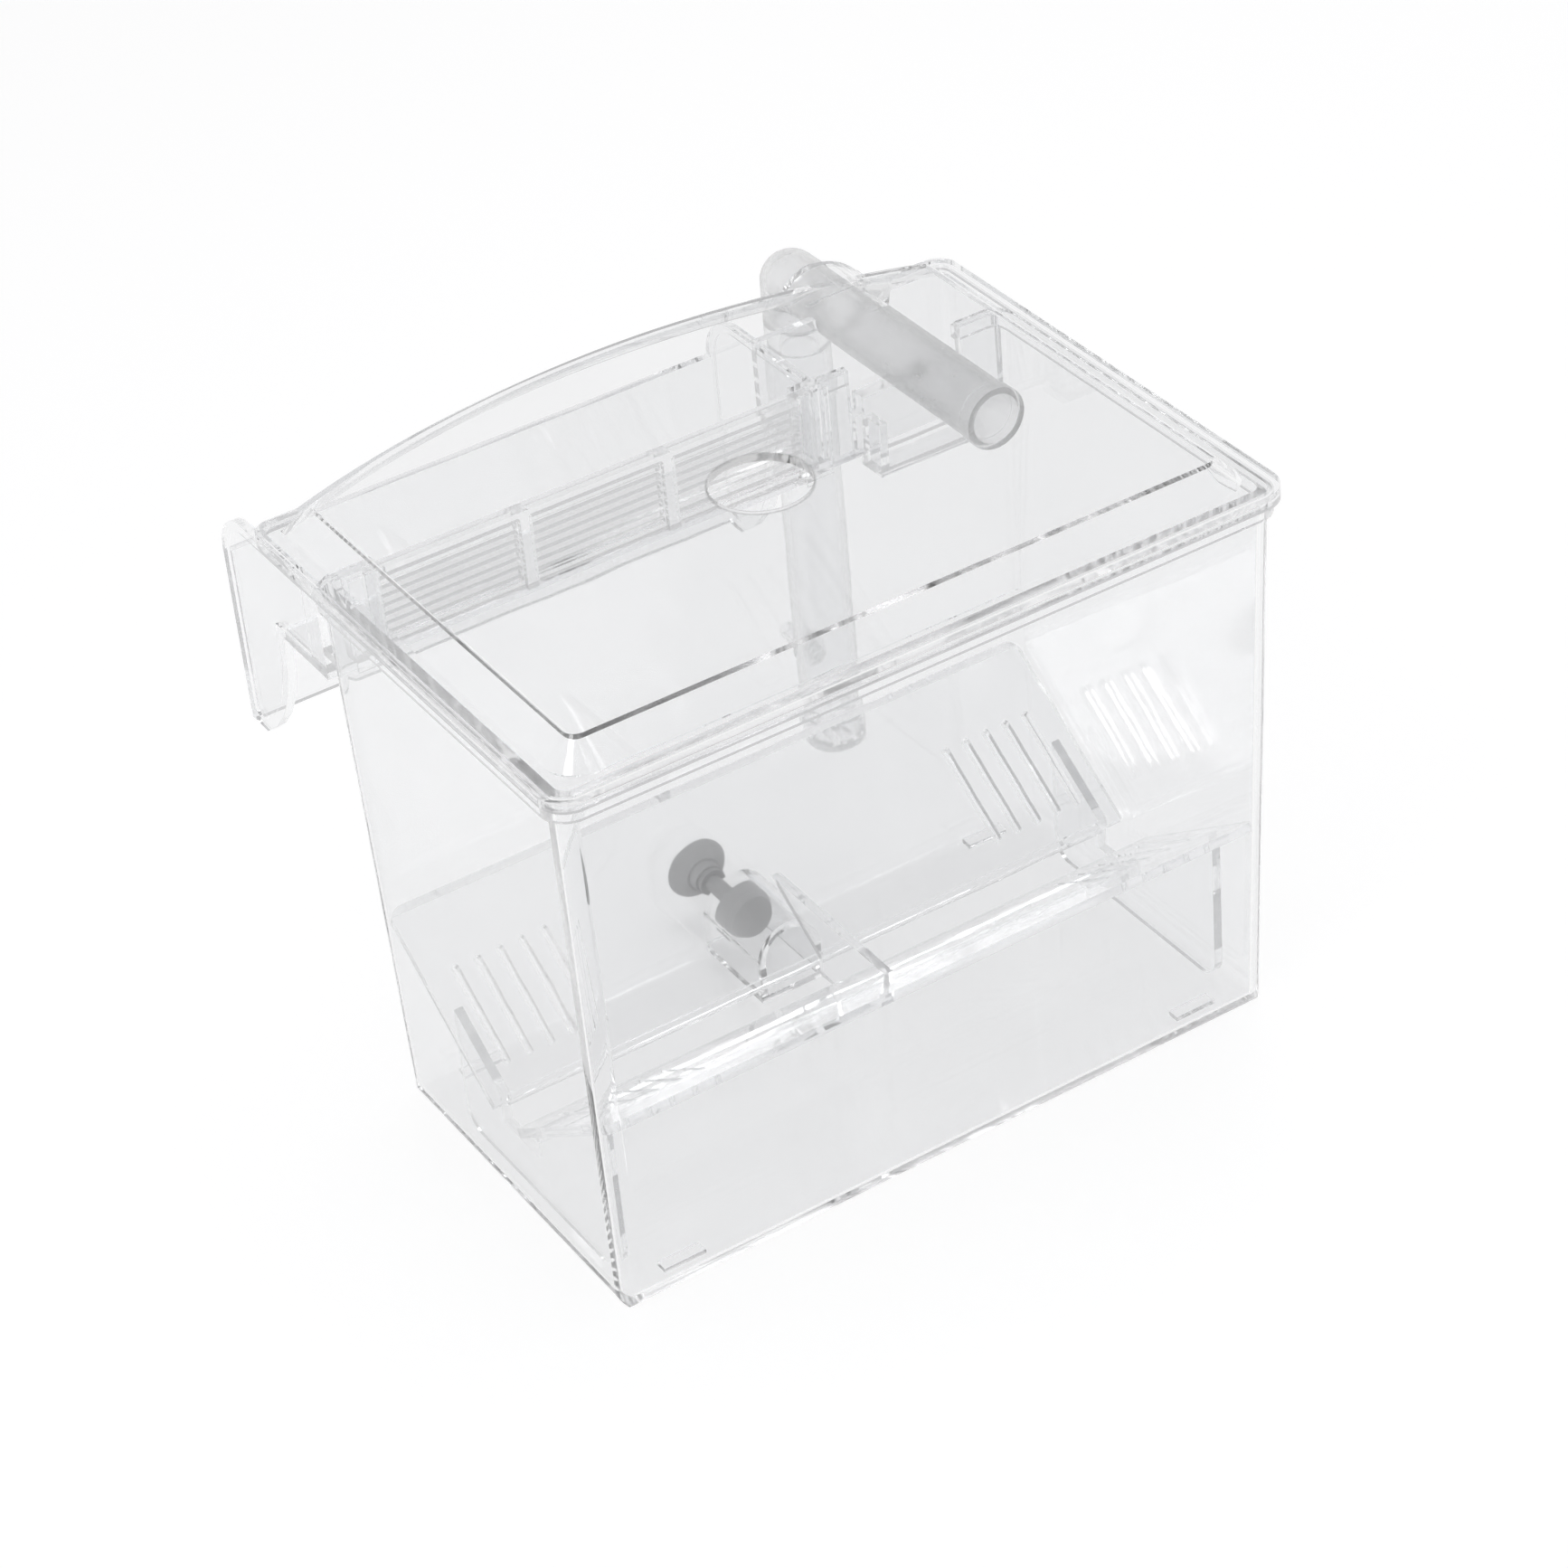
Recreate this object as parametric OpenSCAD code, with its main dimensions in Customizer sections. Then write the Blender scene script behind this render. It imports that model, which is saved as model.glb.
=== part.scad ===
// Hang-on fish breeding box with lifting lid, slotted spawning tray, overflow spout and air-lift tube.
// Millimetres. The origin is the middle of the underside, +Z up, the tank side is +Y.

/* [Box] */
// Outer length of the box at the rim
box_len = 158.6; // [142:0.2:180]
// Outer depth of the box at the rim
box_depth = 90.6; // [80:0.2:110]
// Height of the rim above the table
rim_z = 123.2; // [112:0.2:140]
// Wall thickness of every clear moulding
wall = 2; // [1.6:0.1:2.4]
// Taper of each end wall from rim to floor
taper_len = 2.2; // [1:0.1:3]
// Taper of the front and back walls from rim to floor
taper_depth = 2.4; // [1:0.1:3]
// Radius of the upright corners
corner_r = 4.5; // [4:0.5:7]
// Radius along the bottom edges
bottom_r = 3; // [2:0.5:4]
// Height of the four short ribs on the floor
rib_h = 1; // [0.6:0.1:1.2]
// Spacing of the floor ribs along the box
rib_span = 123; // [100:1:126]

/* [Overflow] */
// Height of the water bridge over the tank rim
bridge_z = 104; // [95:0.5:106]
// Clear gap for the tank glass
glass_gap = 17.5; // [12:0.5:20]
// Depth of the spout that hangs inside the tank
spout_depth = 22.7; // [18:0.1:26]
// How far the spout hangs below the bridge
spout_drop = 33.2; // [20:0.2:45]
// Length of the tube bay beside the spout
bay_len = 44.3; // [43:0.1:48]
// Number of slots in each grille panel
grille_slots = 7; // [4:1:7]
// Height of each grille slot
grille_slot = 1.1; // [0.8:0.1:1.3]

/* [Lid] */
// Thickness of the lid
lid_t = 1.8; // [1.5:0.1:2]
// How far the lid edge stands out past the rim
lid_over = 1.9; // [1.9:0.1:3]
// Height of the raised middle of the lid
lid_rise = 5.2; // [4.8:0.1:7]
// Bow of the back edge of the lid
lid_bow = 13.2; // [8:0.2:16]
// Diameter of the feeding hole
feed_d = 20.5; // [14:0.5:26]

/* [Air lift] */
// Outer diameter of the air-lift tube
tube_d = 13.4; // [11:0.2:13.4]
// Wall thickness of the tube
tube_wall = 1.4; // [1:0.1:1.8]
// Distance of the tube from the right end of the box
tube_in = 24.8; // [22:0.1:25.3]
// Length of the outlet tube inside and over the rim
outlet_len = 73.4; // [60:0.2:85]
// Length of the riser below the elbow
riser_len = 98; // [70:1:100]
// Diameter of the air hose spigot
hose_d = 4.4; // [3.6:0.1:5]

/* [Spawning tray] */
// Height of the trays where they meet the walls
tray_z = 46.5; // [40:0.5:60]
// Height of the gap at the bottom of the vee
vee_z = 20.5; // [15:0.5:24]
// Width of the gap that the fry fall through
fry_gap = 8.4; // [5:0.2:12]
// Thickness of the tray pieces
tray_t = 2; // [1.6:0.1:2.4]
// Slots at each end of a tray
tray_slots = 5; // [3:1:7]
// Spacing of the slots
slot_pitch = 5.1; // [4:0.1:6]
// Width of each slot
slot_w = 1.3; // [1:0.1:2]

/* [Levelling bumper] */
// Height of the bumper above the table
bumper_z = 11; // [11:0.5:16]
// Distance of the bumper from the middle of the box
bumper_x = 1.3; // [0:0.1:6]
// Diameter of the rubber cup
cup_d = 14; // [12:0.5:17]
// Outer width of the pocket in the back wall
pocket_w = 16; // [15:0.2:20]
// Depth of the pocket
pocket_depth = 22.7; // [14:0.1:24]

/* [Hidden] */
$fn = 96;
lift_gap = 0.3;
seat_gap = 0.02;
snug = 0.05;
floor_t = wall + 0.2;
hx = box_len / 2;
hy = box_depth / 2;
top_z = rim_z - 1.2;
span = 400;
cut = 30;
// rim bead
bead = 1.2;
bead_z0 = rim_z - 4;
bead_z1 = top_z;
// overflow opening, its posts and the bay for the tube
plate_x0 = -hx - 0.4;
plate_x1 = hx - bay_len;
post_w = 6.5;
post_y0 = hy - wall - 0.9;
post_y1 = hy + 2.1;
open_x0 = -hx + 11.8;
open_x1 = plate_x1 - 4.5;
post_lap = 1.5;
post_xs = [open_x0 - post_w + post_lap, open_x1 - post_lap];
groove = 2.6;
groove_y = hy - wall / 2 - 0.2;
saddle_w = 27;
// spout
bridge_t = 2;
spout_y0 = hy + glass_gap;
spout_y1 = spout_y0 + spout_depth;
spout_top = rim_z - 1.6;
spout_bottom = bridge_z - spout_drop;
plate_r = 10.5;
plate_rim = 2;
plate_dish = 0.6;
toe = [4.5, 6.7, 12, 4.2];
heel = [[6.6, 9], [3.8, 13.8], [1.8, 19.2], [0.6, 25.2]];
bay_y = hy + 22.4;
// lid
lid_z0 = rim_z + lift_gap;
lid_z1 = lid_z0 + lid_t + 0.1;
lid_z2 = lid_z1 + lid_rise;
lip_z = bead_z1 + lift_gap;
lid_hx = hx + lid_over;
lid_front = hy + lid_over + 0.7;
lid_back = hy + 22.7;
bow_x = lid_hx - 11;
bow_r = (bow_x * bow_x + lid_bow * lid_bow) / (2 * lid_bow);
bow_y = lid_back + lid_bow - bow_r;
ledge = 4.6;
ledge_back = 2.5;
ledge_front = ledge + 0.1;
raise_r = 8;
flange_r = 6;
flange_back_r = 4.5;
feed_y = 11;
// tube
tube_x = hx - tube_in;
tube_r = tube_d / 2;
tube_z = lid_z2 - lid_t - 0.4 - tube_r;
elbow_y = hy + 39.5;
outlet_y = elbow_y - outlet_len;
elbow_drop = 10;
riser_z0 = tube_z - elbow_drop - riser_len;
air_z = 12;
hose_reach = 15;
body_r = tube_r - 0.3;
bore_r = tube_r - tube_wall;
notch_r = body_r + 0.08;
saddle_z = tube_z - 4.5;
hood_in = tube_r + 0.7;
hood_r = hood_in + lid_t;
hood_foot = 2.4;
hood_y = bow_y + bow_r - 19;
// spawning tray
tray_hx = half_x(vee_z) - wall - lift_gap;
tray_hy = half_y(tray_z) - wall - 0.5;
tray_y0 = fry_gap / 2;
tray_run = tray_hy - tray_y0;
tray_rise = tray_z - vee_z;
tray_a = atan2(tray_rise, tray_run);
tray_w = sqrt(tray_run * tray_run + tray_rise * tray_rise);
slot_s0 = 7.3;
slot_s1 = 0.64 * tray_w;
web_z = vee_z + 11.5;
leg_front = 33;
leg_back = 23;
leg_x = half_x(floor_t) - wall - lift_gap - 2.3;
tray_foot = floor_t + lift_gap;
// bumper
pocket_in = pocket_w / 2 - wall;
plug_r = pocket_in - 0.25;
plug_in = 9.5;
cup_out = 11.5;
plug_y = half_y(bumper_z) - plug_in;
cup_y = half_y(bumper_z) + cup_out;

function half_x(z) = hx - taper_len * (1 - z / rim_z);
function half_y(z) = hy - taper_depth * (1 - z / rim_z);

// A round bar between two points
module bar(p, q, r) {
    d = q - p;
    l = sqrt(d[0] * d[0] + d[1] * d[1] + d[2] * d[2]);
    translate(p)
        rotate([0, acos(d[2] / l), atan2(d[1], d[0])])
            rotate([0, 0, 180])
                cylinder(h = l, r = r);
}

// Side view of the tapered box: pulled along Y
module taper_x(i, z0, z1, rb) {
    a0 = half_x(z0) - i;
    a1 = half_x(z1) - i;
    ar = half_x(z0 + rb) - i;
    rotate([90, 0, 0])
        linear_extrude(height = span, center = true)
            union() {
                polygon([[-a0 + rb, z0], [a0 - rb, z0], [ar, z0 + rb], [a1, z1], [-a1, z1], [-ar, z0 + rb]]);
                for (s = [-1, 1])
                    translate([s * (ar - rb - 0.01), z0 + rb])
                        circle(r = rb);
            }
}

// End view of the tapered box: pulled along X
module taper_y(i, z0, z1, rb) {
    a0 = half_y(z0) - i;
    a1 = half_y(z1) - i;
    ar = half_y(z0 + rb) - i;
    rotate([90, 0, 90])
        linear_extrude(height = span, center = true)
            union() {
                polygon([[-a0 + rb, z0], [a0 - rb, z0], [ar, z0 + rb], [a1, z1], [-a1, z1], [-ar, z0 + rb]]);
                for (s = [-1, 1])
                    translate([s * (ar - rb - 0.01), z0 + rb])
                        circle(r = rb);
            }
}

// Tapered tub with rounded upright corners, pulled in by i on every side
module tub(i, z0, z1, r, rb) {
    e = 3;
    intersection() {
        taper_x(i, z0, z1, rb);
        taper_y(i, z0, z1, rb);
        union() {
            intersection() {
                taper_x(i + r, z0 - rb, z1 + 1, 0.4);
                taper_y(i - 1, z0 - rb, z1 + 1, 0.4);
            }
            intersection() {
                taper_x(i - 1, z0 - rb, z1 + 1, 0.4);
                taper_y(i + r, z0 - rb, z1 + 1, 0.4);
            }
            for (sx = [-1, 1])
                for (sy = [-1, 1])
                    bar([sx * (half_x(z0 - e) - i - r + 0.02), sy * (half_y(z0 - e) - i - r + 0.02), z0 - e],
                        [sx * (half_x(z1 + e) - i - r + 0.02), sy * (half_y(z1 + e) - i - r + 0.02), z1 + e], r);
        }
    }
}

// Straight block with rounded upright corners
module rblock(ax, y0, y1, z0, z1, r) {
    translate([-ax + r, y0, z0])
        cube([2 * (ax - r), y1 - y0, z1 - z0]);
    translate([-ax, y0 + r, z0])
        cube([2 * ax, y1 - y0 - 2 * r, z1 - z0]);
    for (s = [-1, 1])
        for (y = [y0 + r, y1 - r])
            translate([s * (ax - r), y, z0])
                cylinder(h = z1 - z0, r = r);
}

// Block between two corners
module block(a, b) {
    translate(a)
        cube(b - a);
}

// Outline of the lid: a plate with rounded corners and a bowed back edge
module lid_plate(i, z0, z1) {
    r = flange_r - i;
    q = flange_back_r - i;
    union() {
        block([-lid_hx + i, -lid_front + i + r, z0], [lid_hx - i, lid_back - i - q, z1]);
        block([-lid_hx + i + q, 0, z0], [lid_hx - i - q, lid_back - i, z1]);
        block([-lid_hx + i + r, -lid_front + i, z0], [lid_hx - i - r, 0, z1]);
        for (s = [-1, 1])
            translate([s * (lid_hx - i - r), -lid_front + i + r, z0])
                cylinder(h = z1 - z0, r = r);
        for (s = [-1, 1])
            translate([s * (lid_hx - i - q), lid_back - i - q, z0])
                cylinder(h = z1 - z0, r = q);
        intersection() {
            translate([0, bow_y, z0])
                cylinder(h = z1 - z0, r = bow_r - i, $fn = 360);
            block([-lid_hx + i + q, 0, z0 - 1], [lid_hx - i - q, span, z1 + 1]);
        }
    }
}

// Raised middle of the lid with sloping sides, pulled in by i
module lid_raise(i, z0, z1) {
    h = z1 - z0;
    k = i * 1.414 + (z0 - lid_z1);
    a = lid_hx - ledge - k;
    f = lid_front - ledge_front - k;
    b = bow_r - ledge_back - k;
    r = raise_r - k;
    intersection() {
        rotate([90, 0, 0])
            linear_extrude(height = span, center = true)
                polygon([[-a, z0], [a, z0], [a - h, z1], [-a + h, z1]]);
        rotate([90, 0, 90])
            linear_extrude(height = span, center = true)
                polygon([[-f, z0], [span / 2, z0], [span / 2, z1], [-f + h, z1]]);
        translate([0, bow_y, z0])
            cylinder(h = h, r1 = b, r2 = b - h, $fn = 360);
        union() {
            block([-a + r, -span / 2, z0 - 1], [a - r, span / 2, z1 + 1]);
            block([-span / 2, -f + r, z0 - 1], [span / 2, span / 2, z1 + 1]);
            for (s = [-1, 1])
                translate([s * (a - r), -f + r, z0])
                    cylinder(h = h, r1 = r, r2 = r - h);
        }
    }
}

// Clear tub: tapered walls, rim bead, openings in the back wall, pocket and floor ribs
module box_shell() {
    color([0.86, 0.88, 0.9])
        difference() {
            union() {
                difference() {
                    union() {
                        tub(0, 0, rim_z, corner_r, bottom_r);
                        rblock(hx + bead, -hy - bead, hy + bead, bead_z0, bead_z1, corner_r + bead);
                    }
                    tub(wall, floor_t, rim_z + 5, corner_r - wall, bottom_r - wall + 0.4);
                    block([open_x0, hy - 8, bridge_z], [open_x1, hy + 8, rim_z + 1]);
                    block([tube_x - saddle_w / 2, hy - 8, bridge_z], [tube_x + saddle_w / 2, hy + 8, rim_z + 1]);
                }
                for (x = post_xs)
                    block([x, post_y0, bridge_z - bridge_t], [x + post_w, post_y1, top_z]);
                pocket_wall();
                for (sx = [-1, 1])
                    for (sy = [-1, 1])
                        translate([sx * rib_span / 2, sy * (hy - taper_depth - 6), 0])
                            floor_rib();
            }
            translate([0, 0, bridge_z])
                block([open_x0 - post_lap, groove_y - groove / 2, 0], [open_x1 + post_lap, groove_y + groove / 2, cut]);
            pocket_hollow();
        }
}

// Short rib on the floor near each corner
module floor_rib() {
    block([-4.7, -1.35, floor_t - 0.5], [4.7, 1.35, floor_t + rib_h]);
}

// Arched pocket that reaches into the box from the back wall
module pocket_wall() {
    intersection() {
        union() {
            translate([bumper_x, half_y(0) - pocket_depth - 1, bumper_z])
                rotate([-90, 0, 0])
                    cylinder(h = pocket_depth + 4, r = pocket_w / 2);
            block([bumper_x - pocket_w / 2, half_y(0) - pocket_depth - 1, floor_t - 1],
                [bumper_x + pocket_w / 2, half_y(0) + 3, bumper_z]);
        }
        tub(wall / 2, floor_t - 1, rim_z, corner_r - wall / 2, 1.5);
    }
}

// Hollow of the pocket, open to the tank side
module pocket_hollow() {
    y0 = half_y(0) - pocket_depth - 1 + wall;
    translate([bumper_x, y0, bumper_z])
        rotate([-90, 0, 0])
            cylinder(h = pocket_depth + 8, r = pocket_in);
    block([bumper_x - pocket_in, y0, floor_t + 0.6], [bumper_x + pocket_in, y0 + pocket_depth + 8, bumper_z]);
}

// Outline of one side plate of the spout, seen from the end, pulled in by i
module plate_outline(i) {
    t = spout_top - i;
    d = spout_bottom;
    y0 = spout_y0 + i;
    y1 = spout_y1 - i;
    union() {
        polygon([[hy - 1 + 3 * i, t], [spout_y1 - plate_r, t], [y1, spout_top - plate_r],
            [y1, d + toe[0]], [spout_y1 - toe[0], d + i], [spout_y1 - toe[1] + 0.4 * i, d + i],
            [spout_y1 - toe[2] + 0.6 * i, d + toe[3] + 0.9 * i],
            [spout_y0 + heel[0][0] + 0.7 * i, d + heel[0][1] + 0.7 * i],
            [spout_y0 + heel[1][0] + 0.9 * i, d + heel[1][1] + 0.5 * i],
            [y0 + heel[2][0], d + heel[2][1] + 0.3 * i],
            [y0 + heel[3][0], d + heel[3][1]],
            [y0 + (i > 0 ? heel[3][0] : 0), bridge_z - bridge_t + i],
            [hy - 1 + 3 * i, bridge_z - bridge_t + i]]);
        translate([spout_y1 - plate_r, spout_top - plate_r])
            circle(r = plate_r - i);
        translate([spout_y1 - toe[0], d + toe[0]])
            circle(r = toe[0] - i);
    }
}

// One side plate: flat inside, dished outside within a raised rim
module side_plate(x, s) {
    difference() {
        translate([x, 0, 0])
            rotate([90, 0, 90])
                linear_extrude(height = wall)
                    plate_outline(0);
        translate([x + wall / 2 + s * (wall - plate_dish), 0, 0])
            rotate([90, 0, 90])
                linear_extrude(height = wall, center = true)
                    plate_outline(plate_rim);
    }
}

// Water bridge over the tank rim, hanging spout and the bay that carries the tube
module overflow_spout() {
    color([0.84, 0.87, 0.89])
        difference() {
            union() {
                side_plate(plate_x0, -1);
                side_plate(plate_x1 - wall, 1);
                block([plate_x0, hy - 1, bridge_z - bridge_t], [plate_x1, spout_y0, bridge_z]);
                block([plate_x0, spout_y1 - 1.8, spout_bottom], [plate_x1, spout_y1, spout_top - plate_r]);
                block([plate_x1 - wall, hy - 1, bridge_z - bridge_t], [hx - corner_r, bay_y, bridge_z]);
                block([plate_x1 - wall, bay_y - 1.8, bridge_z - bridge_t], [hx - corner_r, bay_y, top_z]);
                intersection() {
                    difference() {
                        rblock(hx, -hy, bay_y, bridge_z - bridge_t, top_z, corner_r);
                        rblock(hx - wall, -hy, bay_y - 1.8, bridge_z, rim_z + 1, corner_r - wall);
                    }
                    block([hx - corner_r - 1, hy - 1, 0], [hx + 1, span, rim_z]);
                }
            }
            tub(-seat_gap, 0, rim_z + 1, corner_r + seat_gap, bottom_r);
            rblock(hx + bead + seat_gap, -hy - bead, hy + bead + seat_gap, bead_z0 - seat_gap, bead_z1 + 10, corner_r);
            for (x = post_xs)
                block([x - seat_gap, post_y0, bridge_z - bridge_t - seat_gap],
                    [x + post_w + seat_gap, post_y1 + seat_gap, rim_z]);
            translate([tube_x, bay_y - 8, tube_z])
                rotate([-90, 0, 0])
                    cylinder(h = cut, r = notch_r);
            block([tube_x - notch_r, bay_y - 8, tube_z], [tube_x + notch_r, bay_y + 4, rim_z + 1]);
        }
}

// Saddle that hooks over the sill of the tube opening and carries the outlet tube
module tube_saddle() {
    w = saddle_w / 2 - seat_gap;
    y1 = half_y(bridge_z) - 0.1;
    y2 = y1 - wall;
    color([0.82, 0.85, 0.88])
        difference() {
            union() {
                block([tube_x - w, y2 - 1, bridge_z + seat_gap], [tube_x + w, y1, saddle_z - 4]);
                block([tube_x - w + 1.5, y2 - 1, bridge_z + seat_gap], [tube_x + w - 1.5, y1, saddle_z]);
                block([tube_x - w + 1.5, y2 - 2, bridge_z - 3], [tube_x + w - 1.5, y2, saddle_z]);
                for (s = [-1, 1])
                    block([tube_x + s * (w - 2.5) - 1, y2 - 7, bridge_z - 3],
                        [tube_x + s * (w - 2.5) + 1, y2 - 1, saddle_z - 4]);
                block([tube_x - w + 1.5, y2 - 7, bridge_z - 3], [tube_x + w - 1.5, y2 - 1, bridge_z - 1.2]);
            }
            translate([tube_x, y1 - 20, tube_z])
                rotate([-90, 0, 0])
                    cylinder(h = 30, r = notch_r);
        }
}

// Slotted grille that slides in the posts of the overflow opening
module overflow_grille() {
    x0 = open_x0 - post_lap + lift_gap;
    x1 = open_x1 + post_lap - lift_gap;
    y0 = groove_y - groove / 2 + 0.3;
    y1 = groove_y + groove / 2 - 0.3;
    z0 = bridge_z + lift_gap;
    z1 = top_z;
    cell = (x1 - x0 - 4 * 3) / 3;
    pitch = (z1 - z0 - 3.4) / grille_slots;
    color([0.93, 0.94, 0.95])
        difference() {
            union() {
                block([x0, y0, z0], [x1, y1, z1]);
                block([open_x0 + 2, y0 - 1.2, z1 - 1.6], [open_x1 - 2, y1, z1]);
                for (k = [1, 2])
                    block([x0 + k * (cell + 3) + 0.2, y0 - 1.2, z0], [x0 + k * (cell + 3) + 2.8, y1, z1]);
            }
            for (k = [0, 1, 2])
                for (j = [0:grille_slots - 1])
                    block([x0 + 3 + k * (cell + 3), y0 - 3, z0 + 1.6 + j * pitch],
                        [x0 + 3 + k * (cell + 3) + cell, y1 + 3, z0 + 1.6 + j * pitch + grille_slot]);
        }
}

// Whole lid moulding: flange with a lip, raised middle, feeding hole and the hood over the tube
module lid_moulding() {
    difference() {
        union() {
            lid_plate(0, lip_z, lid_z1);
            lid_raise(0, lid_z1 - 0.5, lid_z2);
            intersection() {
                lid_plate(0, lip_z, lid_z2 + 2);
                translate([tube_x, 0, 0])
                    hood(hood_r, hood_foot);
            }
        }
        lid_plate(1.5, lip_z - 1, lid_z0);
        lid_raise(lid_t, lid_z0 - 1, lid_z2 - lid_t);
        translate([tube_x, hood_y - 11, tube_z])
            rotate([-90, 0, 0])
                cylinder(h = 2 * cut, r = hood_in);
        block([tube_x - hood_in, hood_y - 11, lip_z - 2], [tube_x + hood_in, hood_y + cut, tube_z]);
        translate([0, feed_y, 0])
            cylinder(h = span, r = feed_d / 2);
    }
}

// Part of the lid that holds the hood, grown by g
module hood_zone(g) {
    w = hood_r + 2 + g;
    block([tube_x - w, hood_y - 1 - g, lip_z - 3], [tube_x + w, span, lid_z2 + 4]);
}

module lid() {
    color([0.88, 0.9, 0.92])
        difference() {
            lid_moulding();
            hood_zone(seat_gap);
        }
}

module tube_hood() {
    color([0.88, 0.9, 0.92])
        intersection() {
            lid_moulding();
            hood_zone(0);
        }
}

// Half-round hood with a filleted foot, pulled along Y over the back slope
module hood(r, f) {
    foot = sqrt((r + f) * (r + f) - (lid_z1 + f - tube_z) * (lid_z1 + f - tube_z));
    translate([0, hood_y, 0])
        rotate([90, 0, 180])
            linear_extrude(height = cut)
                union() {
                    translate([0, tube_z])
                        intersection() {
                            circle(r = r);
                            translate([-r, 0])
                                square([2 * r, r + 1]);
                        }
                    difference() {
                        translate([-foot, lid_z1 - 1])
                            square([2 * foot, f * 0.8 + 1]);
                        for (s = [-1, 1])
                            translate([s * foot, lid_z1 + f])
                                circle(r = f);
                    }
                }
}

// One sloping slotted panel, drawn for the back and mirrored for the front
module tray_panel() {
    x0 = tray_hx - 6.9;
    r = 3;
    difference() {
        union() {
            translate([0, tray_y0, vee_z])
                rotate([tray_a, 0, 0])
                    translate([0, 0, -tray_t])
                        linear_extrude(height = tray_t)
                            union() {
                                polygon([[-tray_hx, 0], [tray_hx, 0], [tray_hx, tray_w - r],
                                    [tray_hx - r, tray_w], [-tray_hx + r, tray_w], [-tray_hx, tray_w - r]]);
                                for (s = [-1, 1])
                                    translate([s * (tray_hx - r), tray_w - r])
                                        circle(r = r);
                            }
            translate([0, tray_y0, vee_z])
                rotate([tray_a, 0, 0])
                    block([-tray_hx + 4, 0, -tray_t - 2.4], [tray_hx - 4, 1.7, -tray_t + 0.1]);
        }
        for (s = [-1, 1])
            for (k = [0:tray_slots - 1])
                translate([s * (x0 - k * slot_pitch), tray_y0, vee_z])
                    rotate([tray_a, 0, 0])
                        union() {
                            block([-slot_w / 2, slot_s0, -10], [slot_w / 2, slot_s1, 10]);
                            for (y = [slot_s0, slot_s1])
                                translate([0, y, -10])
                                    cylinder(h = 20, r = slot_w / 2, $fn = 32);
                        }
        block([-tray_hx - 1, tray_hy, 0], [tray_hx + 1, span, span]);
    }
}

module tray_back_panel() {
    color([0.9, 0.92, 0.93])
        tray_panel();
}

module tray_front_panel() {
    color([0.9, 0.92, 0.93])
        mirror([0, 1, 0])
            tray_panel();
}

// End plate: stands on the floor and carries both panels
module tray_end() {
    r = 5;
    g = seat_gap;
    rotate([90, 0, 90])
        linear_extrude(height = tray_t)
            union() {
                polygon([[-leg_front + r, tray_foot], [leg_back - r, tray_foot], [leg_back, tray_foot + r],
                    [leg_back, under(leg_back) - g], [tray_y0 + 2.6, under(tray_y0 + 2.6) - g],
                    [tray_y0 + 2.6, vee_z - 7], [-tray_y0 - 2.6, vee_z - 7],
                    [-tray_y0 - 2.6, under(tray_y0 + 2.6) - g], [-leg_front, under(leg_front) - g],
                    [-leg_front, tray_foot + r]]);
                for (y = [-leg_front + r, leg_back - r])
                    translate([y, tray_foot + r])
                        circle(r = r);
            }
}

// Height of the underside of a panel above the table
function under(y) = vee_z + (y - tray_y0) * tan(tray_a) - tray_t / cos(tray_a);

module tray_left_end() {
    color([0.9, 0.92, 0.93])
        translate([-leg_x, 0, 0])
            tray_end();
}

module tray_right_end() {
    color([0.9, 0.92, 0.93])
        translate([leg_x - tray_t, 0, 0])
            tray_end();
}

// Web across the middle of the vee, with a tongue between the two panels
module tray_centre_web() {
    wy = tray_y0 + (web_z - vee_z) / tan(tray_a) - seat_gap;
    by = tray_y0 - seat_gap;
    color([0.9, 0.92, 0.93])
        rotate([90, 0, 90])
            linear_extrude(height = tray_t, center = true)
                polygon([[by, vee_z - 4], [by, vee_z], [wy, web_z], [-wy, web_z], [-by, vee_z], [-by, vee_z - 4]]);
}

// Outlet tube with the domed elbow at its outer end
module outlet_elbow() {
    color([0.8, 0.82, 0.84, 0.8])
        difference() {
            union() {
                translate([tube_x, outlet_y, tube_z])
                    rotate([-90, 0, 0])
                        cylinder(h = outlet_len, r = body_r);
                translate([tube_x, outlet_y, tube_z])
                    rotate([-90, 0, 0])
                        cylinder(h = 3, r = tube_r);
                translate([tube_x, elbow_y, tube_z])
                    sphere(r = tube_r);
                translate([tube_x, elbow_y - 7, tube_z])
                    rotate([-90, 0, 0])
                        cylinder(h = 7, r = tube_r);
                translate([tube_x, elbow_y, tube_z - elbow_drop])
                    cylinder(h = elbow_drop, r = tube_r);
            }
            translate([tube_x, outlet_y - 1, tube_z])
                rotate([-90, 0, 0])
                    cylinder(h = outlet_len + 1, r = bore_r);
            translate([tube_x, elbow_y, tube_z])
                sphere(r = bore_r);
            translate([tube_x, elbow_y, tube_z - elbow_drop - 1])
                cylinder(h = elbow_drop + 1, r = bore_r);
        }
}

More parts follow.
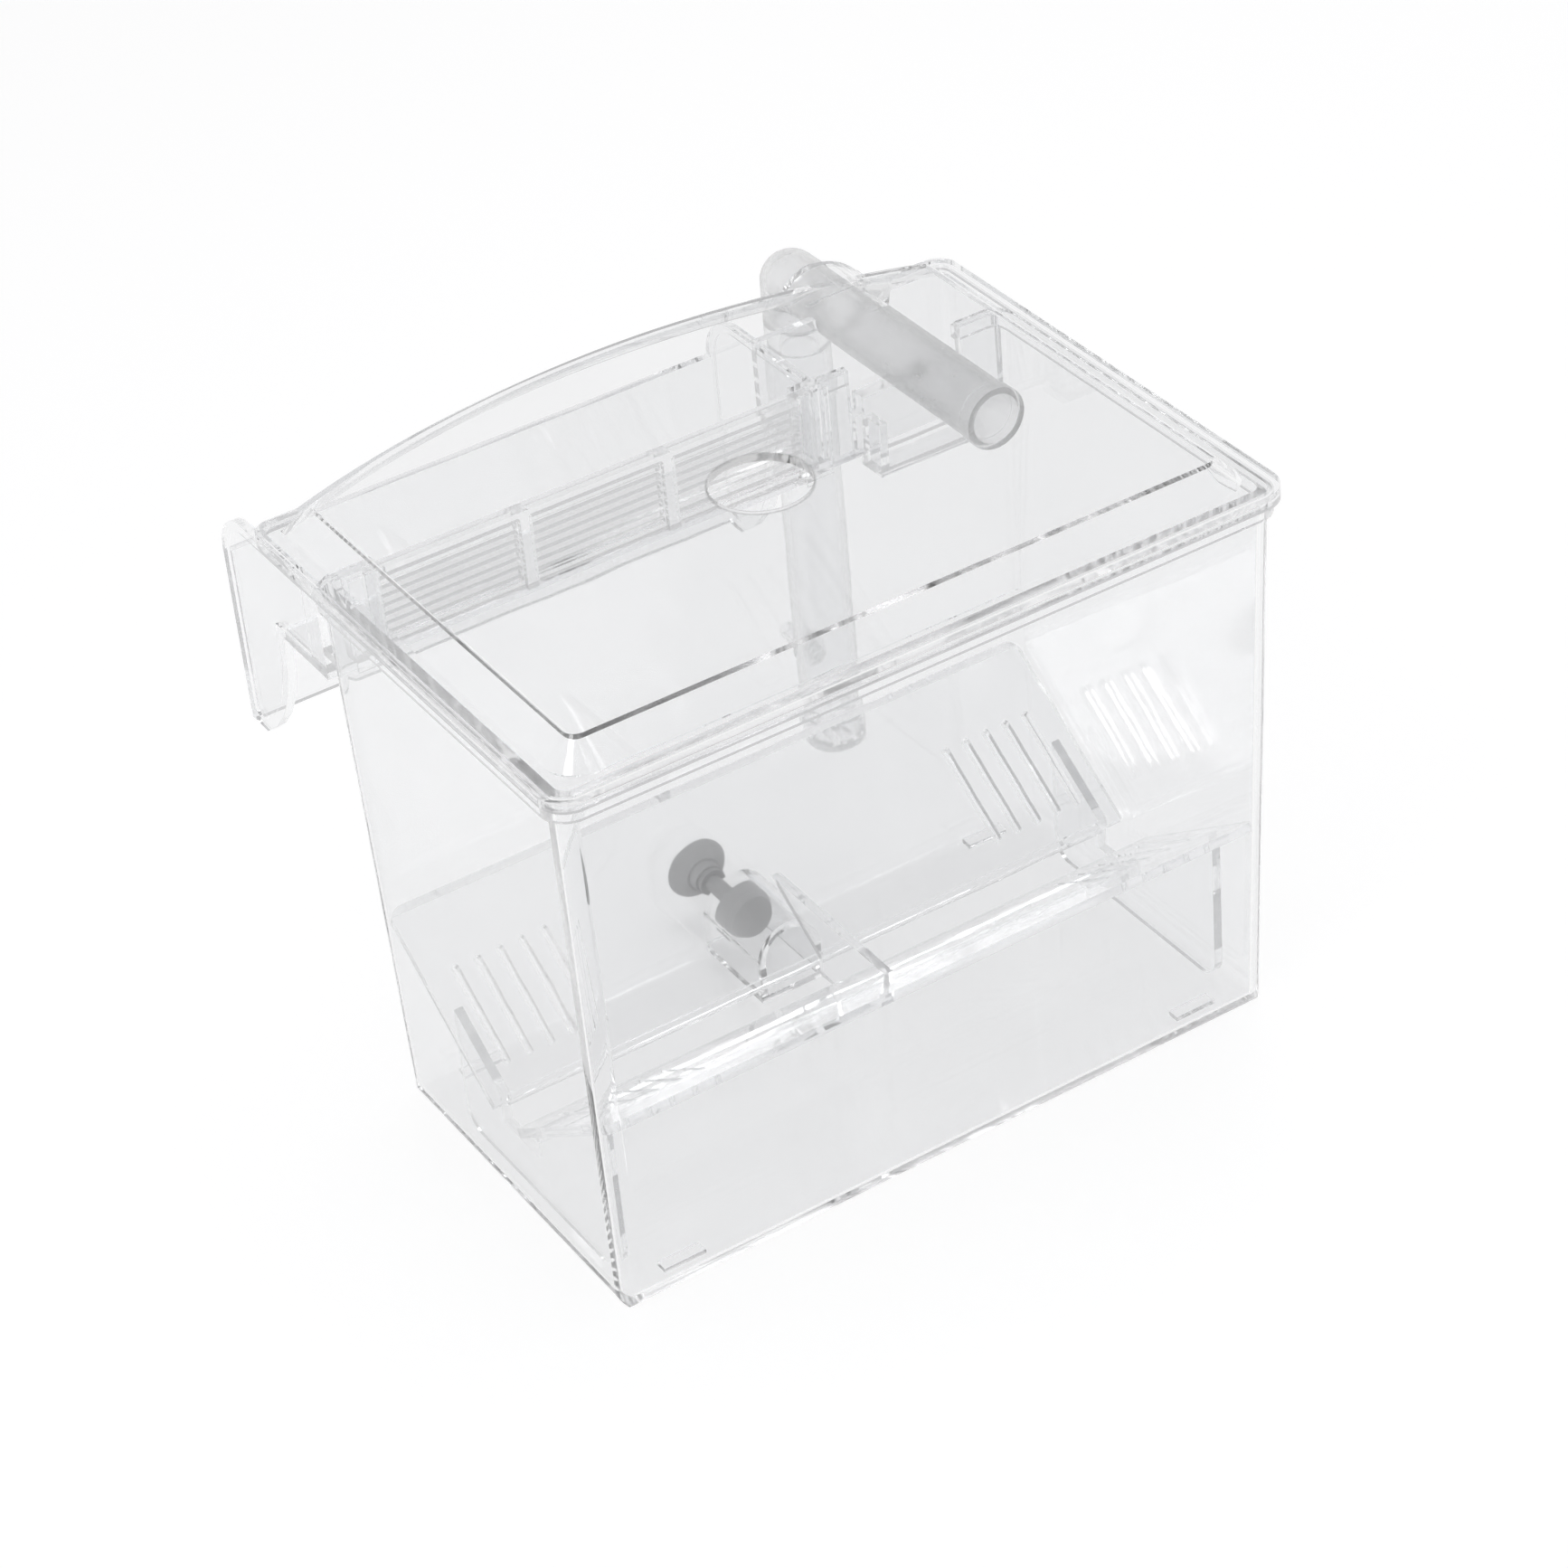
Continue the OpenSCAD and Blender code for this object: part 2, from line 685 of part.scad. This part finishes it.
// Upright riser with a spigot that plugs into the elbow
module riser_tube() {
    color([0.85, 0.88, 0.9])
        translate([tube_x, elbow_y, 0])
            difference() {
                union() {
                    translate([0, 0, riser_z0])
                        cylinder(h = riser_len - lift_gap, r = tube_r);
                    translate([0, 0, riser_z0 + riser_len - 4])
                        cylinder(h = 8.6, r = bore_r - snug);
                }
                translate([0, 0, riser_z0 - 1])
                    cylinder(h = riser_len - 5, r = bore_r);
                translate([0, 0, riser_z0 + riser_len - 8])
                    cylinder(h = 20, r = bore_r - 1.2);
                translate([0, 0, riser_z0 - 1])
                    cylinder(h = 5, r = bore_r + 0.2);
                translate([0, 0, riser_z0 + air_z])
                    rotate([-90, 0, 0])
                        cylinder(h = cut, r = hose_d / 2 + seat_gap);
            }
}

// Spigot for the air hose, with a collar against the riser
module air_nozzle() {
    r = hose_d / 2;
    color([0.78, 0.8, 0.82])
        translate([tube_x, elbow_y, riser_z0 + air_z])
            rotate([-90, 0, 0])
                difference() {
                    union() {
                        translate([0, 0, bore_r - 1.1])
                            cylinder(h = hose_reach - bore_r + 1.1, r = r);
                        translate([0, 0, hose_reach])
                            cylinder(h = 1, r1 = r, r2 = r - 0.5);
                        translate([0, 0, tube_r + seat_gap])
                            cylinder(h = 1.4, r = r + 1.4);
                    }
                    translate([0, 0, bore_r - 2])
                        cylinder(h = cut, r = r - 1);
                }
}

// Slotted end cap that keeps fish out of the riser
module riser_strainer() {
    color([0.8, 0.82, 0.84])
        translate([tube_x, elbow_y, riser_z0])
            difference() {
                union() {
                    translate([0, 0, -7])
                        cylinder(h = 7 - seat_gap, r = tube_r);
                    translate([0, 0, -3])
                        cylinder(h = 6.8, r = bore_r + 0.2 - seat_gap);
                }
                translate([0, 0, -5.4])
                    cylinder(h = 20, r = bore_r - 1);
                for (a = [0:60:300])
                    rotate([0, 0, a])
                        translate([bore_r - 2.5, -0.7, -5.2])
                            cube([6, 1.4, 3.8]);
                for (x = [-2, 0, 2])
                    translate([x - 0.5, -2.6, -8])
                        cube([1, 5.2, 4]);
            }
}

// Stem of the levelling bumper
module bumper_stem() {
    color([0.2, 0.2, 0.21])
        translate([bumper_x, plug_y, bumper_z])
            rotate([-90, 0, 0])
                union() {
                    translate([0, 0, 1])
                        cylinder(h = cup_y - plug_y - 1, r = 1.9);
                    translate([0, 0, 5 + seat_gap])
                        cylinder(h = 1.4, r = 3.4);
                    translate([0, 0, cup_y - plug_y - 3.6])
                        cylinder(h = 1.2, r = 3);
                }
}

// Rubber plug that grips the pocket
module bumper_plug() {
    color([0.22, 0.22, 0.23])
        translate([bumper_x, plug_y, bumper_z])
            rotate([-90, 0, 0])
                difference() {
                    union() {
                        cylinder(h = 1.2, r1 = plug_r - 0.8, r2 = plug_r);
                        translate([0, 0, 1.2])
                            cylinder(h = 3.8, r = plug_r);
                    }
                    translate([0, 0, 1 - seat_gap])
                        cylinder(h = 10, r = 1.9 + seat_gap);
                }
}

// Rubber cup that rests on the tank glass
module suction_cup() {
    r = cup_d / 2;
    color([0.24, 0.24, 0.25])
        translate([bumper_x, cup_y, bumper_z])
            rotate([-90, 0, 0])
                difference() {
                    union() {
                        translate([0, 0, -2.3])
                            cylinder(h = 2.4, r = 3.4);
                        cylinder(h = 2.2, r1 = 4, r2 = r - 0.6);
                        translate([0, 0, 2.2])
                            cylinder(h = 0.8, r1 = r - 0.6, r2 = r);
                    }
                    translate([0, 0, 1.6])
                        cylinder(h = 1.5, r1 = 2.4, r2 = r - 0.5);
                    translate([0, 0, -5])
                        cylinder(h = 5 + seat_gap, r = 1.9 + seat_gap);
                }
}

box_shell();
overflow_spout();
tube_saddle();
overflow_grille();
lid();
tube_hood();
tray_back_panel();
tray_front_panel();
tray_left_end();
tray_right_end();
tray_centre_web();
outlet_elbow();
riser_tube();
air_nozzle();
riser_strainer();
bumper_stem();
bumper_plug();
suction_cup();
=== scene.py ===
import math
import bmesh
import bpy
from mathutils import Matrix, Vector
from mathutils.bvhtree import BVHTree
from mathutils.interpolate import poly_3d_calc


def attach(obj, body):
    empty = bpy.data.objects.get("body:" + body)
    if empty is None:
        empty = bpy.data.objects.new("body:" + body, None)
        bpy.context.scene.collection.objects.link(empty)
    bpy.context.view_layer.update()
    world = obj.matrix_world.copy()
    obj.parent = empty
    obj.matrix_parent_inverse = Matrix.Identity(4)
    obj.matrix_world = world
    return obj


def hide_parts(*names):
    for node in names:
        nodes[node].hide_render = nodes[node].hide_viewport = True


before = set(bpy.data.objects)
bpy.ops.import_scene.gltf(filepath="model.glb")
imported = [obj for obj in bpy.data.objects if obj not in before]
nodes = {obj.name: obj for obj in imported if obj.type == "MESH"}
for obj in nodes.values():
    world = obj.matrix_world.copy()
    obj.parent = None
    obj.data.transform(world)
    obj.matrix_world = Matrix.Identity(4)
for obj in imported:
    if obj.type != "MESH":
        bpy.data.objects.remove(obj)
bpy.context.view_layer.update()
mm = 0.001

# Camera. It stands to the left of the front and looks down on the box from about 0.9 m, with a long
# lens and a slight roll.
camera_data = bpy.data.cameras.new("camera")
camera_data.sensor_width = 36.0
camera_data.lens = 101.6
camera_data.clip_start = 0.05
camera_data.clip_end = 50.0
camera = bpy.data.objects.new("camera", camera_data)
camera.location = (-0.3555, -0.6052, 0.5762)
camera.rotation_euler = [math.radians(turn) for turn in (53.90, 4.31, -33.05)]
bpy.context.scene.collection.objects.link(camera)
bpy.context.scene.camera = camera
bpy.context.scene.view_settings.view_transform = "Standard"

# Table. A wide pale table top, which keeps the box's shadow and reads as white where nothing shades
# it. Rays from the camera, straight or through clear plastic, see it a little lifted, and mirrored
# ones half as much.
table_radius = 3.0
table_tone = 0.86
seen_lift = 0.30
mirrored_share = 0.5


def add(tree, kind, operation=None, **settings):
    """A new shader node. Each setting names one of its inputs, with _ for a space."""
    made = tree.nodes.new(kind)
    if operation:
        made.operation = operation
    for label, value in settings.items():
        made.inputs[label.replace("_", " ")].default_value = value
    return made


table_mesh = bpy.data.meshes.new("table_top")
table_build = bmesh.new()
bmesh.ops.create_circle(table_build, cap_ends=True, segments=96, radius=table_radius)
table_build.to_mesh(table_mesh)
table_build.free()
table = bpy.data.objects.new("table_top", table_mesh)
bpy.context.scene.collection.objects.link(table)

table_paint = bpy.data.materials.new("pale_table")
table_paint.use_nodes = True
tree = table_paint.node_tree
tree.nodes.clear()
table_shader = add(tree, "ShaderNodeBsdfPrincipled", Base_Color=(table_tone, table_tone, table_tone, 1),
                   Roughness=0.35, Specular_IOR_Level=0.35, Emission_Color=(1, 1, 1, 1))
table_ray = add(tree, "ShaderNodeLightPath")
straight = add(tree, "ShaderNodeMath", "MAXIMUM")
tree.links.new(table_ray.outputs["Is Camera Ray"], straight.inputs[0])
tree.links.new(table_ray.outputs["Is Transmission Ray"], straight.inputs[1])
mirrored = add(tree, "ShaderNodeMath", "MULTIPLY")
mirrored.inputs[1].default_value = mirrored_share
tree.links.new(table_ray.outputs["Is Glossy Ray"], mirrored.inputs[0])
seen = add(tree, "ShaderNodeMath", "MAXIMUM")
tree.links.new(mirrored.outputs[0], seen.inputs[0])
tree.links.new(straight.outputs[0], seen.inputs[1])
lift = add(tree, "ShaderNodeMath", "MULTIPLY")
lift.inputs[1].default_value = seen_lift
tree.links.new(seen.outputs[0], lift.inputs[0])
tree.links.new(lift.outputs[0], table_shader.inputs["Emission Strength"])
table_out = add(tree, "ShaderNodeOutputMaterial")
tree.links.new(table_shader.outputs[0], table_out.inputs["Surface"])
table_mesh.materials.append(table_paint)

# Studio. The room is a soft grey, white low down and darker overhead, with two soft lamps over the
# box. The camera itself sees the room as white.
horizon_tone = (1, 1, 1, 1)
overhead_tone = (0.42, 0.42, 0.425, 1)
overhead_from = 0.9
world = bpy.data.worlds.new("studio")
bpy.context.scene.world = world
world.use_nodes = True
tree = world.node_tree
tree.nodes.clear()
sky_place = add(tree, "ShaderNodeTexCoord")
sky_split = add(tree, "ShaderNodeSeparateXYZ")
tree.links.new(sky_place.outputs["Generated"], sky_split.inputs[0])
sky_ramp = add(tree, "ShaderNodeValToRGB")
sky_ramp.color_ramp.elements[0].position = 0.0
sky_ramp.color_ramp.elements[0].color = horizon_tone
sky_ramp.color_ramp.elements[1].position = overhead_from
sky_ramp.color_ramp.elements[1].color = overhead_tone
tree.links.new(sky_split.outputs["Z"], sky_ramp.inputs[0])
sky_light = add(tree, "ShaderNodeBackground", Strength=1.0)
tree.links.new(sky_ramp.outputs[0], sky_light.inputs["Color"])
sky_seen = add(tree, "ShaderNodeBackground", Color=(1, 1, 1, 1))
sky_ray = add(tree, "ShaderNodeLightPath")
sky_mix = add(tree, "ShaderNodeMixShader")
tree.links.new(sky_ray.outputs["Is Camera Ray"], sky_mix.inputs[0])
tree.links.new(sky_light.outputs[0], sky_mix.inputs[1])
tree.links.new(sky_seen.outputs[0], sky_mix.inputs[2])
sky_out = add(tree, "ShaderNodeOutputWorld")
tree.links.new(sky_mix.outputs[0], sky_out.inputs["Surface"])

box_middle = Vector((0, 0, 0.08))


def softbox(name, place, width, height, watts):
    """A soft rectangular studio lamp aimed at the middle of the box."""
    lamp = bpy.data.lights.new(name, "AREA")
    lamp.shape = "RECTANGLE"
    lamp.size = width
    lamp.size_y = height
    lamp.energy = watts
    stand = bpy.data.objects.new(name, lamp)
    stand.location = place
    stand.rotation_euler = (box_middle - Vector(place)).to_track_quat("-Z", "Y").to_euler()
    stand.visible_camera = False
    bpy.context.scene.collection.objects.link(stand)


softbox("left_light", (-0.83, -0.32, 1.12), width=0.34, height=0.44, watts=3.2)
softbox("top_light", (0.50, 0.14, 1.32), width=0.80, height=0.26, watts=3.2)

# Light finds its way through a dozen clear faces in a row, and turns many times inside a wall.
clear_turns = 96
shadow_faces = 24
bpy.context.scene.cycles.max_bounces = clear_turns
bpy.context.scene.cycles.transmission_bounces = clear_turns
bpy.context.scene.cycles.glossy_bounces = clear_turns
bpy.context.scene.cycles.transparent_max_bounces = shadow_faces
bpy.context.scene.cycles.caustics_refractive = False
bpy.context.scene.cycles.caustics_reflective = False

# Tub, with the bridge and spout that hang over the tank's edge and the saddle for the tube. Clear
# styrene, 2 mm thick, injection moulded and polished in the mould, so it has a faint flow ripple and
# a few handling scuffs. One closed skin stands for the three solids.


def moulded_finish():
    """Node group: the flow ripple and scuffs of a clear moulding."""
    group = bpy.data.node_groups.new("moulded_finish", "ShaderNodeTree")
    starts = {"Ripple Size": 60.0, "Ripple Depth": 1.0, "Base Roughness": 0.03, "Scuffs": 0.05}
    for label, start in starts.items():
        socket = group.interface.new_socket(label, in_out="INPUT", socket_type="NodeSocketFloat")
        socket.default_value = start
    for label in ("Roughness", "Height", "Cloud"):
        group.interface.new_socket(label, in_out="OUTPUT", socket_type="NodeSocketFloat")
    wires = group.links
    given = add(group, "NodeGroupInput")
    result = add(group, "NodeGroupOutput")
    place = add(group, "ShaderNodeTexCoord")

    ripple = add(group, "ShaderNodeTexNoise", Detail=1.5, Roughness=0.4)
    wires.new(place.outputs["Object"], ripple.inputs["Vector"])
    wires.new(given.outputs["Ripple Size"], ripple.inputs["Scale"])
    depth = add(group, "ShaderNodeMath", "MULTIPLY")
    wires.new(ripple.outputs["Fac"], depth.inputs[0])
    wires.new(given.outputs["Ripple Depth"], depth.inputs[1])
    wires.new(depth.outputs[0], result.inputs["Height"])
    wires.new(ripple.outputs["Fac"], result.inputs["Cloud"])

    stretch = add(group, "ShaderNodeMapping", Scale=(1.0, 6.0, 14.0), Rotation=(0.5, 0.3, 0.7))
    wires.new(place.outputs["Object"], stretch.inputs["Vector"])
    scuff = add(group, "ShaderNodeTexNoise", Scale=90.0, Detail=6.0)
    wires.new(stretch.outputs[0], scuff.inputs["Vector"])
    scuff_mask = add(group, "ShaderNodeMapRange", From_Min=0.62, From_Max=0.78)
    wires.new(scuff.outputs["Fac"], scuff_mask.inputs["Value"])
    scuff_share = add(group, "ShaderNodeMath", "MULTIPLY")
    wires.new(scuff_mask.outputs[0], scuff_share.inputs[0])
    wires.new(given.outputs["Scuffs"], scuff_share.inputs[1])
    rough = add(group, "ShaderNodeMath", "ADD")
    wires.new(scuff_share.outputs[0], rough.inputs[0])
    wires.new(given.outputs["Base Roughness"], rough.inputs[1])
    wires.new(rough.outputs[0], result.inputs["Roughness"])
    return group


finish_group = moulded_finish()


def two_tone(tree, share, light, dark):
    """A colour that goes from light to dark by a share that changes over the surface."""
    tint = tree.nodes.new("ShaderNodeMix")
    tint.data_type = "RGBA"
    tint.inputs["A"].default_value = (*light, 1)
    tint.inputs["B"].default_value = (*dark, 1)
    tree.links.new(share, tint.inputs["Factor"])
    return tint.outputs["Result"]


def clear_plastic(name, light, dark, ripple_size, ripple_depth, roughness, scuffs, shade):
    """A clear or frosted moulding. Shadow and bounced light pass it straight, dimmed by shade."""
    paint = bpy.data.materials.new(name)
    paint.use_nodes = True
    tree = paint.node_tree
    tree.nodes.clear()
    shader = add(tree, "ShaderNodeBsdfPrincipled", Transmission_Weight=1.0, IOR=1.52)
    finish = tree.nodes.new("ShaderNodeGroup")
    finish.node_tree = finish_group
    finish.inputs["Ripple Size"].default_value = ripple_size
    finish.inputs["Ripple Depth"].default_value = ripple_depth
    finish.inputs["Base Roughness"].default_value = roughness
    finish.inputs["Scuffs"].default_value = scuffs
    tree.links.new(two_tone(tree, finish.outputs["Cloud"], light, dark), shader.inputs["Base Color"])
    tree.links.new(finish.outputs["Roughness"], shader.inputs["Roughness"])
    bump = add(tree, "ShaderNodeBump", Strength=0.35, Distance=0.2 * mm)
    tree.links.new(finish.outputs["Height"], bump.inputs["Height"])
    tree.links.new(bump.outputs[0], shader.inputs["Normal"])

    through = add(tree, "ShaderNodeBsdfTransparent", Color=(shade, shade, shade, 1))
    ray = add(tree, "ShaderNodeLightPath")
    passes = add(tree, "ShaderNodeMath", "MAXIMUM")
    tree.links.new(ray.outputs["Is Shadow Ray"], passes.inputs[0])
    tree.links.new(ray.outputs["Is Diffuse Ray"], passes.inputs[1])
    either = add(tree, "ShaderNodeMixShader")
    tree.links.new(passes.outputs[0], either.inputs[0])
    tree.links.new(shader.outputs[0], either.inputs[1])
    tree.links.new(through.outputs[0], either.inputs[2])
    out = add(tree, "ShaderNodeOutputMaterial")
    tree.links.new(either.outputs[0], out.inputs["Surface"])
    return paint


# How far a solid reaches into its neighbour before the two are joined.
lap = 0.04 * mm


def fused_solids(name, parts):
    """One closed mesh over solids that come out of one mould. A corner that lies near the first solid
    is moved into it by a lap, so that no seam is left inside the clear wall."""
    weld = 0.002 * mm
    no_gap = 0.0001 * mm
    first = bmesh.new()
    first.from_mesh(nodes[parts[0]].data)
    bmesh.ops.remove_doubles(first, verts=first.verts, dist=weld)
    near = BVHTree.FromBMesh(first)
    skin = bpy.data.meshes.new(name)
    first.to_mesh(skin)
    first.free()
    piece = bpy.data.objects.new(name, skin)
    bpy.context.scene.collection.objects.link(piece)
    others = []
    for part in parts[1:]:
        beside = bmesh.new()
        beside.from_mesh(nodes[part].data)
        bmesh.ops.remove_doubles(beside, verts=beside.verts, dist=weld)
        for corner in beside.verts:
            spot, _, _, gap = near.find_nearest(corner.co, 3 * lap)
            if spot is not None and gap > no_gap:
                corner.co = spot + (spot - corner.co).normalized() * lap
        beside_mesh = bpy.data.meshes.new(part + "_lap")
        beside.to_mesh(beside_mesh)
        beside.free()
        other = bpy.data.objects.new(part + "_lap", beside_mesh)
        bpy.context.scene.collection.objects.link(other)
        others.append(other)
        fuse = piece.modifiers.new("fuse", "BOOLEAN")
        fuse.operation = "UNION"
        fuse.solver = "MANIFOLD"
        fuse.object = other
    fused = bpy.data.meshes.new_from_object(piece.evaluated_get(bpy.context.evaluated_depsgraph_get()))
    piece.modifiers.clear()
    for other in others:
        bpy.data.objects.remove(other)
    piece.data = fused
    return piece


def take_true_directions(mesh, parts):
    """The mesh gets the solids' own surface directions, so that its curved walls stay smooth."""
    inward = 0.02
    same_face = 0.97
    same_curve = 0.9
    spots = []
    faces = []
    bends = []
    for part in parts:
        solid = nodes[part].data
        solid.calc_loop_triangles()
        start = len(spots)
        spots.extend(corner.co.copy() for corner in solid.vertices)
        for tri in solid.loop_triangles:
            faces.append([start + i for i in tri.vertices])
            bends.append([solid.corner_normals[i].vector.copy() for i in tri.loops])
    source = BVHTree.FromPolygons(spots, faces)

    wanted = [Vector((0, 0, 1))] * len(mesh.loops)
    for face in mesh.polygons:
        face.use_smooth = True
        for loop_index in face.loop_indices:
            corner = mesh.vertices[mesh.loops[loop_index].vertex_index].co
            inside = corner.lerp(face.center, inward)
            best = face.normal
            for spot, _, index, _ in source.find_nearest_range(inside, 2 * lap):
                corners = [spots[i] for i in faces[index]]
                flat = (corners[1] - corners[0]).cross(corners[2] - corners[0])
                if flat.length > 0 and flat.normalized().dot(face.normal) > same_face:
                    share = poly_3d_calc(corners, spot)
                    bend = sum((share[i] * bends[index][i] for i in range(3)), Vector())
                    if bend.length > 0 and bend.normalized().dot(face.normal) > same_curve:
                        best = bend.normalized()
                        break
            wanted[loop_index] = best
    mesh.normals_split_custom_set(wanted)


def one_moulding(name, parts, body, paint):
    """One closed skin that stands for solids out of one mould."""
    piece = fused_solids(name, parts)
    take_true_directions(piece.data, parts)
    piece.data.materials.clear()
    piece.data.materials.append(paint)
    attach(piece, body)
    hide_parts(*parts)


styrene = {"light": (0.945, 0.947, 0.95), "dark": (0.92, 0.923, 0.927), "ripple_size": 45.0,
           "ripple_depth": 1.0, "roughness": 0.02, "scuffs": 0.04, "shade": 0.975}
clear_wall = clear_plastic("clear_styrene", **styrene)
one_moulding("tub_moulding", ["box_shell", "overflow_spout", "tube_saddle"], "box", clear_wall)

# Overflow grille. A thin slotted strip of the same clear plastic, a little dulled, that slides down
# into the grooved posts in front of the spout.


def dress(names, paint):
    """Packed solids get their finish."""
    for name in names:
        nodes[name].data.materials.clear()
        nodes[name].data.materials.append(paint)


grille_clear = clear_plastic("clear_grille", light=(0.99, 0.99, 0.99), dark=(0.975, 0.975, 0.975),
                             ripple_size=90.0, ripple_depth=1.0, roughness=0.07, scuffs=0.05, shade=0.985)
dress(["overflow_grille"], grille_clear)

# Spawning tray. Two sloping slotted panels on two upright ends, with a web across the vee. Thin clear
# mouldings that push together and lift out as one.
tray_clear = clear_plastic("clear_tray", light=(0.975, 0.977, 0.98), dark=(0.955, 0.957, 0.96),
                           ripple_size=70.0, ripple_depth=1.2, roughness=0.03, scuffs=0.06, shade=0.985)
dress(["tray_back_panel", "tray_front_panel", "tray_left_end", "tray_right_end", "tray_centre_web"],
      tray_clear)

# Lid. The same clear styrene as the tub, in one moulding with the hood over the tube. It lies loose on
# the rim. A grey ring of painted shade at the edge of the feeding hole stands for the dark line its cut
# edge shows.
hole_y = 11.0 * mm
hole_radius = 10.25 * mm
# Width and tone of the painted shade ring at the edge of the feeding hole.
edge_shade_band = 0.5 * mm
edge_shade_tone = 0.4


def shaded_hole_edge(paint):
    """Painted shade: the clear material is darkened to grey at the edge of the feeding hole."""
    tree = paint.node_tree
    shader = tree.nodes["Principled BSDF"]
    clean = shader.inputs["Base Color"].links[0].from_socket
    place = add(tree, "ShaderNodeTexCoord")
    from_above = add(tree, "ShaderNodeVectorMath", "MULTIPLY")
    from_above.inputs[1].default_value = (1, 1, 0)
    tree.links.new(place.outputs["Object"], from_above.inputs[0])
    reach = add(tree, "ShaderNodeVectorMath", "DISTANCE")
    reach.inputs[1].default_value = (0, hole_y, 0)
    tree.links.new(from_above.outputs[0], reach.inputs[0])
    near_edge = add(tree, "ShaderNodeMapRange", From_Min=hole_radius, From_Max=hole_radius + edge_shade_band,
                    To_Min=1.0, To_Max=0.0)
    tree.links.new(reach.outputs["Value"], near_edge.inputs["Value"])
    # Painted shade: the clear colour is mixed towards grey near the hole's edge.
    edge_shaded = tree.nodes.new("ShaderNodeMix")
    edge_shaded.data_type = "RGBA"
    edge_shaded.inputs["B"].default_value = (edge_shade_tone, edge_shade_tone, edge_shade_tone, 1)
    tree.links.new(near_edge.outputs[0], edge_shaded.inputs["Factor"])
    tree.links.new(clean, edge_shaded.inputs["A"])
    tree.links.new(edge_shaded.outputs["Result"], shader.inputs["Base Color"])


clear_lid = clear_plastic("clear_lid", **styrene)
shaded_hole_edge(clear_lid)
one_moulding("lid_moulding", ["lid", "tube_hood"], "lid", clear_lid)

# Air-lift tube. A frosted outlet tube with a domed elbow lies in the saddle. The clearer riser plugs
# into it from below, with the nozzle for the air hose and the strainer at its foot.
frosted = clear_plastic("frosted_tube", light=(0.95, 0.952, 0.955), dark=(0.93, 0.932, 0.935),
                        ripple_size=120.0, ripple_depth=0.6, roughness=0.25, scuffs=0.05, shade=0.96)
dress(["outlet_elbow"], frosted)
riser_clear = clear_plastic("riser_clear", light=(0.985, 0.987, 0.99), dark=(0.975, 0.977, 0.98),
                            ripple_size=80.0, ripple_depth=0.8, roughness=0.16, scuffs=0.05, shade=0.985)
dress(["riser_tube", "air_nozzle", "riser_strainer"], riser_clear)

# Levelling bumper. A moulded rubber plug grips the pocket in the back wall, and a rubber cup rests on
# the tank's glass. A stiff stem joins the two.


def rubber(name, light, dark, roughness):
    """Dull moulded rubber with a fine bloom."""
    bloom_spread = 0.08
    paint = bpy.data.materials.new(name)
    paint.use_nodes = True
    tree = paint.node_tree
    shader = tree.nodes["Principled BSDF"]
    place = add(tree, "ShaderNodeTexCoord")
    bloom = add(tree, "ShaderNodeTexNoise", Scale=400.0, Detail=5.0)
    tree.links.new(place.outputs["Object"], bloom.inputs["Vector"])
    tree.links.new(two_tone(tree, bloom.outputs["Fac"], light, dark), shader.inputs["Base Color"])
    spread = add(tree, "ShaderNodeMapRange", To_Min=roughness - bloom_spread,
                 To_Max=roughness + bloom_spread)
    tree.links.new(bloom.outputs["Fac"], spread.inputs["Value"])
    tree.links.new(spread.outputs[0], shader.inputs["Roughness"])
    bump = add(tree, "ShaderNodeBump", Strength=0.2, Distance=0.1 * mm)
    tree.links.new(bloom.outputs["Fac"], bump.inputs["Height"])
    tree.links.new(bump.outputs[0], shader.inputs["Normal"])
    return paint


soft_rubber = rubber("dark_rubber", light=(0.44, 0.44, 0.445), dark=(0.38, 0.38, 0.385), roughness=0.55)
dress(["bumper_plug", "suction_cup"], soft_rubber)
stiff_stem = rubber("dark_stem", light=(0.40, 0.40, 0.405), dark=(0.34, 0.34, 0.345), roughness=0.4)
dress(["bumper_stem"], stiff_stem)
